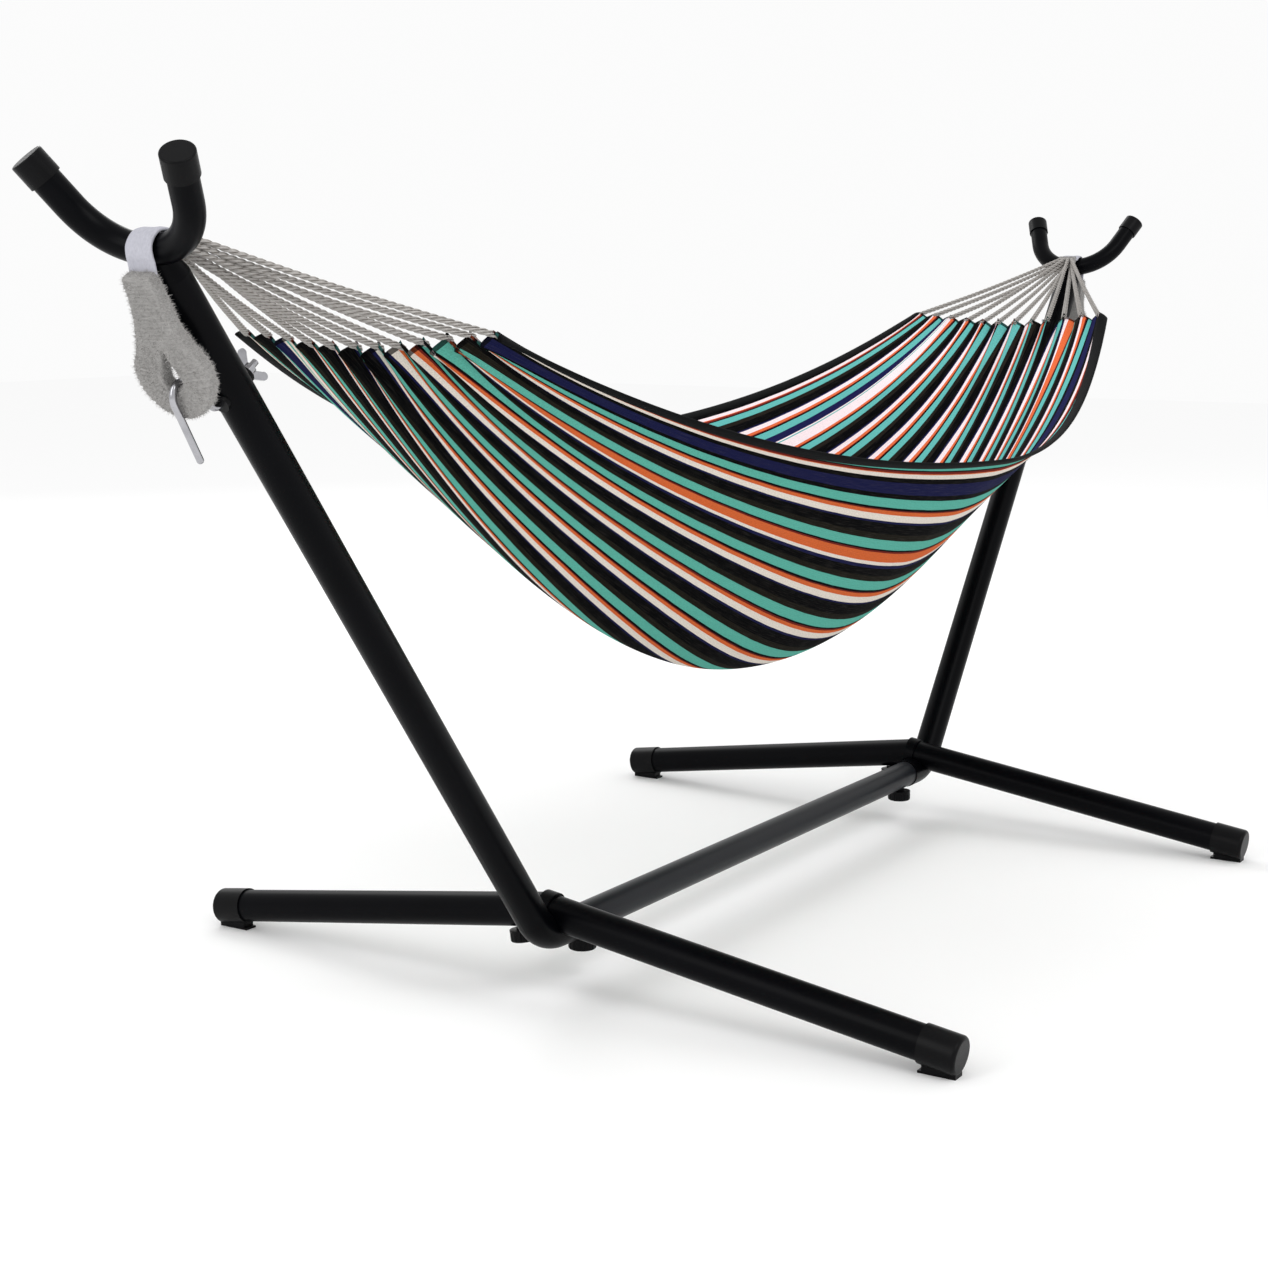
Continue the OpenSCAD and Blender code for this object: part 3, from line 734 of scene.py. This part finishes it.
def noose_outline():
    side = [(0.006, 0.0185), (0.030, 0.0205), (0.055, 0.0240), (0.070, 0.0280), (0.083, 0.0340), (0.094, 0.0402)]
    start = math.atan2(0.0448, -0.0130)
    ring = [start * (1 - 2 * k / 40) for k in range(41)]
    return (side + [(RING_DOWN + RING_R * math.cos(a), RING_R * math.sin(a)) for a in ring]
            + [(d, -y) for d, y in reversed(side)])


def eye_outline():
    turns = [math.pi / 2 * (1 - 2 * k / 16) for k in range(17)]
    return [(EYE_TOP, 0.0)] + [(EYE_DOWN + EYE_R * math.cos(a), EYE_R * math.sin(a)) for a in turns]


def plate_with_hole(name, outline, hole, half, place, material):
    """A flat plate as a closed mesh: two faces, an outer wall and the wall of the hole."""
    rings = [outline] + ([hole] if hole else [])
    flat = [[Vector((a, b, 0)) for a, b in ring] for ring in rings]
    points = [p for ring in rings for p in ring]
    corners = tessellate_polygon(flat)
    n = len(points)
    faces = [tuple(c) for c in corners] + [tuple(i + n for i in reversed(c)) for c in corners]
    start = 0
    for ring in rings:
        for k in range(len(ring)):
            a, b = start + k, start + (k + 1) % len(ring)
            faces.append((a, b, b + n, a + n))
        start += len(ring)
    verts = [place(a, b, -half) for a, b in points] + [place(a, b, half) for a, b in points]
    return face_outwards(new_piece(name, verts, faces, material))


def rounded(piece, voxel, rounds):
    """Remeshes a piece in small cubes and smooths it, so its edges turn round as stuffed cloth's do."""
    remesh = piece.modifiers.new("remesh", "REMESH")
    remesh.mode, remesh.voxel_size, remesh.use_smooth_shade = "VOXEL", voxel, True
    smooth = piece.modifiers.new("smooth", "SMOOTH")
    smooth.factor, smooth.iterations = 0.5, rounds
    return frozen(piece)


# %% yarn finishes
def yarn(name, light, dark, stretch):
    f = Finish(name, light, 0.92, Specular_IOR_Level=0.1)
    strand = f.noise(1.0, 3, stretch=stretch)
    patch = f.noise(40, 2)
    f.set("Base Color", f.mix(strand * 0.8 + patch * 0.2, dark, light))
    f.set("Roughness", strand * 0.1 + 0.85)
    f.bump(strand, 0.0008, 0.6)
    return f.material


whipping = yarn("whipped_cotton_yarn", (0.44, 0.43, 0.42), (0.15, 0.145, 0.14), (500, 90, 500))
strap_cotton = yarn("cotton_strap", (0.54, 0.54, 0.59), (0.33, 0.33, 0.38), (260, 500, 260))

# %% the noose
ROW = 0.0042


def row_place(down, y):
    """How far along the winding a point is: straight down the stem, then round each side of the eye."""
    turned = EYE_TOP + 0.029 * math.atan2(abs(y), EYE_DOWN - 0.002 - down)
    share = min(1.0, max(0.0, (down - 0.078) / 0.030))
    share = share * share * (3 - 2 * share)
    return down * (1 - share) + turned * share


def make_noose():
    piece = plate_with_hole("right_noose", noose_outline(), eye_outline(), LOOP_THICK / 2 + 0.0006, on_loop, whipping)
    piece = rounded(piece, 0.0016, 14)
    normals = [v.normal.copy() for v in piece.data.vertices]
    for v, normal in zip(piece.data.vertices, normals):
        offset = v.co - saddle - out * LOOP_TOP
        down, y = offset.dot(LOOP_DOWN), offset.dot(across)
        row = math.sin(2 * math.pi * row_place(down, y) / ROW)
        v.co += normal * (0.00055 * row + 0.0005 * math.sin(70 * y + 90 * down))
    piece.data.shade_smooth()
    return piece


noose = make_noose()
print("noose:", triangles(noose), "triangles")

# %% the strap over the saddle, and the collar where it meets the ropes
BAND_MID = 0.0187 + 0.00225
STRAP_STEP = 0.0035


def strap_path():
    """From inside the noose's top, up over the saddle, and down to the ropes."""
    spots = [(0.0312, -0.0260), (0.0290, -0.0170), (0.0258, -0.0090), (0.0228, -0.0030)]
    bend = [math.radians(a) for a in range(6, 151, 4)]
    spots += [(BAND_MID * math.cos(a), BAND_MID * math.sin(a)) for a in bend]
    a = math.radians(150)
    spots.append((spots[-1][0] - math.sin(a) * STRAP_STEP, spots[-1][1] + math.cos(a) * STRAP_STEP))
    points = [saddle + out * u + up * h for u, h in spots]
    for _ in range(3):
        points.append(points[-1] + (points[-1] - points[-2]).normalized() * STRAP_STEP)
    path = []
    for k, point in enumerate(points):
        forward = (points[min(k + 1, len(points) - 1)] - points[max(k - 1, 0)]).normalized()
        path.append((point, across, across.cross(forward)))
    return path


def strap_ring(share):
    half, thick = 0.0184 - 0.0007 * math.sin(math.pi * share) ** 2, 0.0021
    wave = 0.0004 * math.sin(23 * share)
    ring = []
    for k in range(28):
        a = 2 * math.pi * k / 28
        c, s = math.cos(a), math.sin(a)
        y = half * math.copysign(abs(c) ** 0.35, c)
        ring.append((y, thick * math.copysign(abs(s) ** 0.6, s) + wave * math.cos(300 * y)))
    return ring


strap = sweep("right_strap", strap_path(), strap_ring, strap_cotton)
collar_side = [(-0.0300, -0.0115), (-0.0190, 0.0025), (-0.0190, 0.0115), (-0.0300, 0.0115)]
collar = plate_with_hole("right_rope_collar", collar_side, None, 0.016,
                         lambda a, b, y: Vector((saddle.x + a, y, swing_height + b)), whipping)
collar = rounded(collar, 0.0011, 6)
print("strap:", triangles(strap), "triangles; collar:", triangles(collar))

# %% [markdown]
# ## Fuzz on the noose
# Whipped cotton sheds fibres, and they show most at its sides. Points are scattered on the noose with a fixed seed,
# and each carries one thin tapered fibre that leans a random way and varies in length.

# %% a tree that scatters fibres
def fuzz_tree(material):
    t = Tree("scatter_fibres")
    density = t.size("Fibres per square metre", 260000.0)
    length = t.size("Fibre length", 0.0055)
    thick = t.size("Fibre radius", 0.00026)
    seed = t.size("Seed", 7, "Int")
    scatter = t.group.nodes.new("GeometryNodeDistributePointsOnFaces")
    t.group.links.new(t.ins.outputs[0], scatter.inputs["Mesh"])
    t.group.links.new(density, scatter.inputs["Density"])
    t.group.links.new(seed, scatter.inputs["Seed"])
    fibre = t.node("GeometryNodeMeshCone", {"Vertices": 3, "Radius Top": 0.0, "Radius Bottom": 1.0, "Depth": 1.0},
                   fill_type="NGON")
    lean = t.node("FunctionNodeRandomValue", {0: (-0.9, -0.9, -0.9), 1: (0.9, 0.9, 0.9), "Seed": seed},
                  data_type="FLOAT_VECTOR")
    towards = t.node("ShaderNodeVectorMath", {0: scatter.outputs["Normal"], 1: lean}, operation="ADD")
    turned = t.node("FunctionNodeAlignRotationToVector", {"Vector": towards}, axis="Z")
    stretch = t.node("FunctionNodeRandomValue", {2: 0.45, 3: 1.0, "Seed": seed}, output=1, data_type="FLOAT")
    size = t.node("ShaderNodeCombineXYZ", {0: thick, 1: thick, 2: t.maths("MULTIPLY", stretch, length)})
    placed = t.node("GeometryNodeInstanceOnPoints", {"Points": scatter.outputs["Points"], "Instance": fibre,
                                                     "Rotation": turned, "Scale": size})
    return t.finish(placed, material)


fuzz = yarn("cotton_fibres", (0.55, 0.54, 0.525), (0.26, 0.25, 0.245), (300, 300, 300))
carrier = noose.copy()
carrier.data = noose.data.copy()
carrier.name = carrier.data.name = "right_fuzz"
bpy.context.scene.collection.objects.link(carrier)
fibres = fuzz_tree(fuzz).grow(carrier)
print("fibres:", triangles(fibres), "triangles")

# %% both ends, on the frame
for piece in (noose, strap, collar, fibres):
    twin = mirrored(piece, piece.name.replace("right", "left"))
    for end_piece, end in ((piece, "right"), (twin, "left")):
        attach(end_piece, "frame")
        if piece is noose:
            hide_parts(f"{end}_hook_loop")
print("loops are on the frame")

# %% hand the hammock's pieces to the swinging body
for piece in (bed, *tapes, right_ropes, left_ropes):
    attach(piece, "hammock")
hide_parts("bed")
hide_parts("right_cords")
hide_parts("left_cords")

# %% [markdown]
# ## Floor and light
# A pale floor that is much bigger than the stand fades into a pale world. One wide soft lamp over the front, a weaker
# one behind and a narrow one along the side are a plain studio set-up: soft shadows, and a streak down each tube.

# %% stage, lamps and world
def studio_floor():
    f = Finish("pale_studio_floor", (0.975, 0.975, 0.975), 0.9, Specular_IOR_Level=0.0)
    f.set("Roughness", f.noise(3, 2) * 0.1 + 0.85)
    return f.material


floor_mesh = bpy.data.meshes.new("studio_floor")
floor_mesh.from_pydata([(-14, -14, 0), (14, -14, 0), (14, 14, 0), (-14, 14, 0)], [], [(0, 1, 2, 3)])
floor_mesh.materials.append(studio_floor())
floor = bpy.data.objects.new("studio_floor", floor_mesh)
bpy.context.scene.collection.objects.link(floor)


def lamp(name, place, target, width, height, watts):
    data = bpy.data.lights.new(name, "AREA")
    data.shape, data.size, data.size_y, data.energy = "RECTANGLE", width, height, watts
    made = bpy.data.objects.new(name, data)
    aim = (Vector(target) - Vector(place)).to_track_quat("-Z", "Y").to_matrix().to_4x4()
    made.matrix_world = Matrix.Translation(place) @ aim
    bpy.context.scene.collection.objects.link(made)


lamp("key", (-2.2, -3.6, 4.2), (0, 0, 0.5), 3.2, 2.2, 70)
lamp("back", (2.6, 3.8, 3.6), (0, 0, 0.6), 3.0, 2.0, 60)
lamp("side", (-4.6, 1.0, 2.6), (0, 0, 0.5), 1.2, 3.0, 40)
world = bpy.data.worlds.new("studio")
world.use_nodes = True
world.node_tree.nodes["Background"].inputs["Color"].default_value = (1.0, 1.0, 1.0, 1)
world.node_tree.nodes["Background"].inputs["Strength"].default_value = 0.97
bpy.context.scene.world = world
bpy.context.scene.view_settings.view_transform = "Standard"
